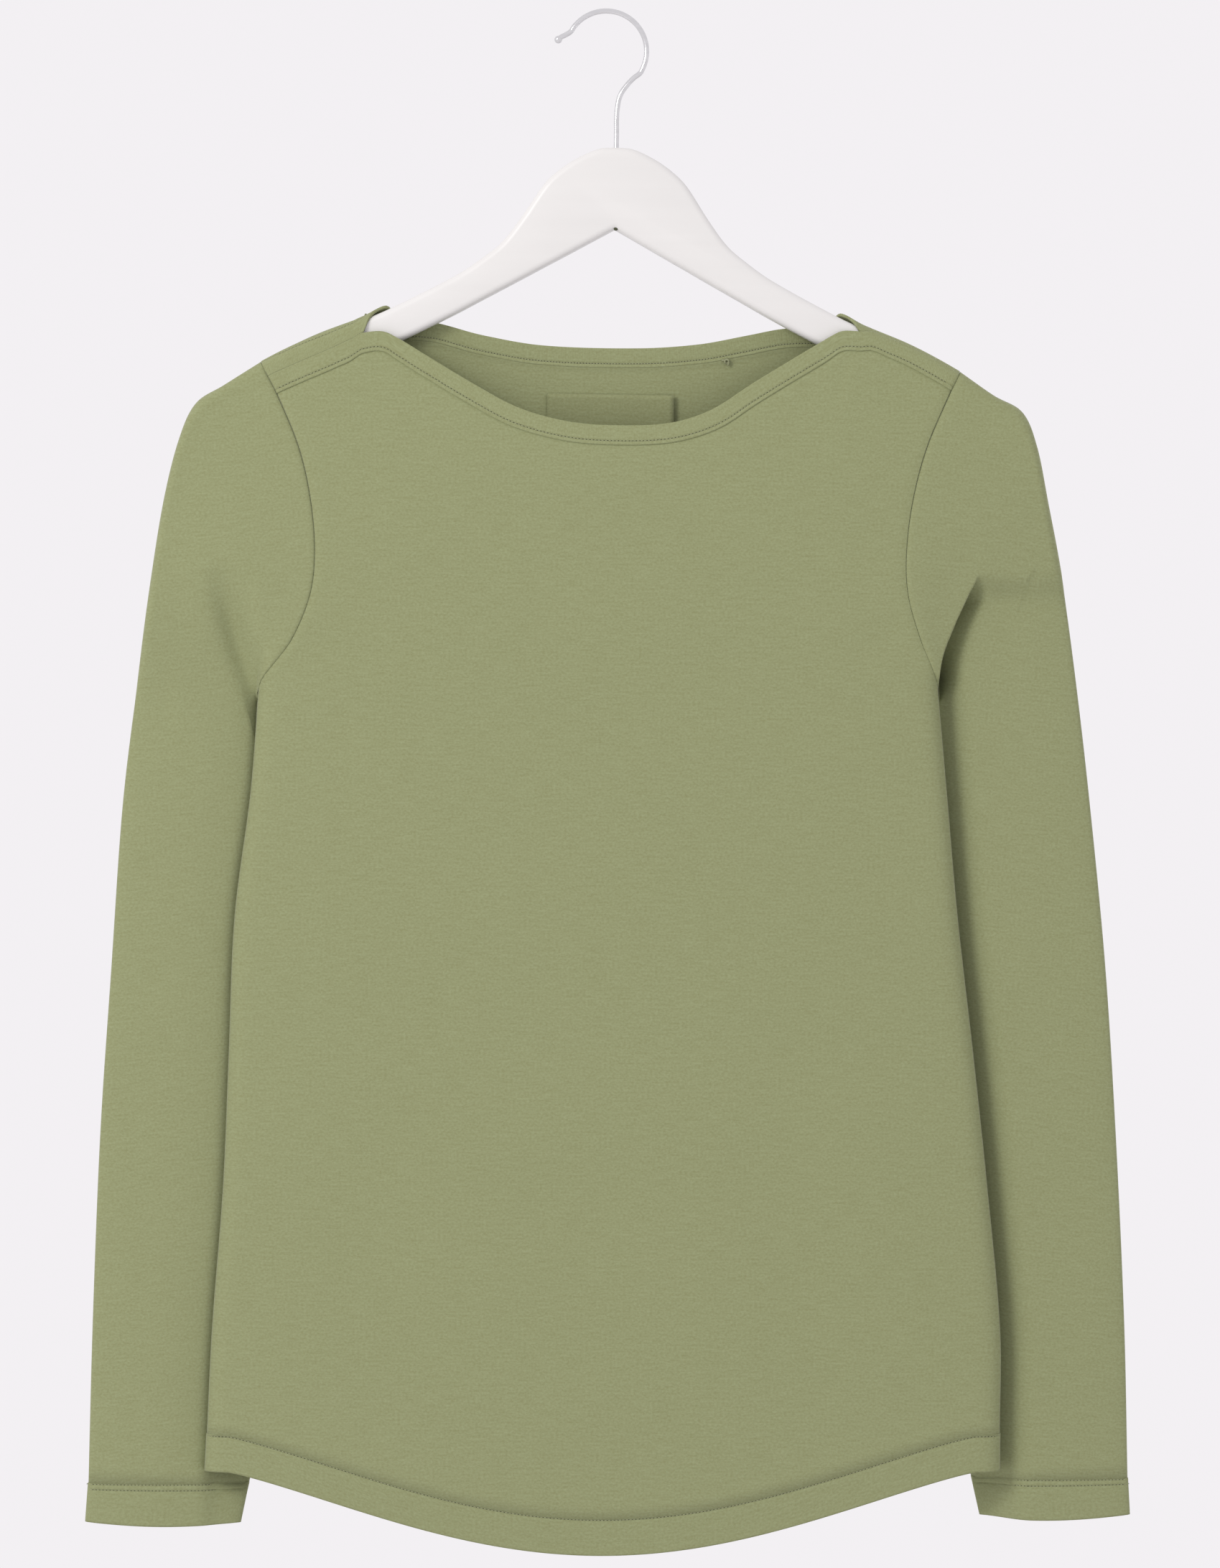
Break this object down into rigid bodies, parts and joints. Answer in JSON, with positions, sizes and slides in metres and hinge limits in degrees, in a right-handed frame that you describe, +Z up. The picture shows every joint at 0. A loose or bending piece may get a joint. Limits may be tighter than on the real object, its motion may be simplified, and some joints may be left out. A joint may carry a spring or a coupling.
{
  "type": "long-sleeved t-shirt on a hanger",
  "caption": "Plain long-sleeved jersey t-shirt with a wide boat neck, hung from its shoulders on a flat wooden hanger with a wire hook.",
  "frame": {"origin": "inner crown of the hook, where a rail or peg carries the hanger", "axes": "+Z up, the front of the shirt faces -Y, +X to the right of someone who faces the front"},
  "size_m": [0.56, 0.0394, 0.8258],
  "materials": {
    "jersey": "soft matt sage-green cotton jersey with faint slubs across",
    "doubled_jersey": "the same jersey folded double and stitched",
    "patch_cloth": "smooth plain patch of the same green",
    "painted_wood": "white satin paint with softened edges",
    "chrome_wire": "polished round wire"
  },
  "bodies": {
    "root": {"body_front": "jersey", "body_back": "jersey", "sleeve_left": "jersey", "sleeve_right": "jersey", "neck_binding_front": "doubled_jersey", "neck_binding_back": "doubled_jersey", "hem_front": "doubled_jersey", "hem_back": "doubled_jersey", "cuff_left": "doubled_jersey", "cuff_right": "doubled_jersey", "neck_patch": "patch_cloth", "hanger_wood": "painted_wood", "hanger_hook": "chrome_wire"}
  },
  "joints": []
}
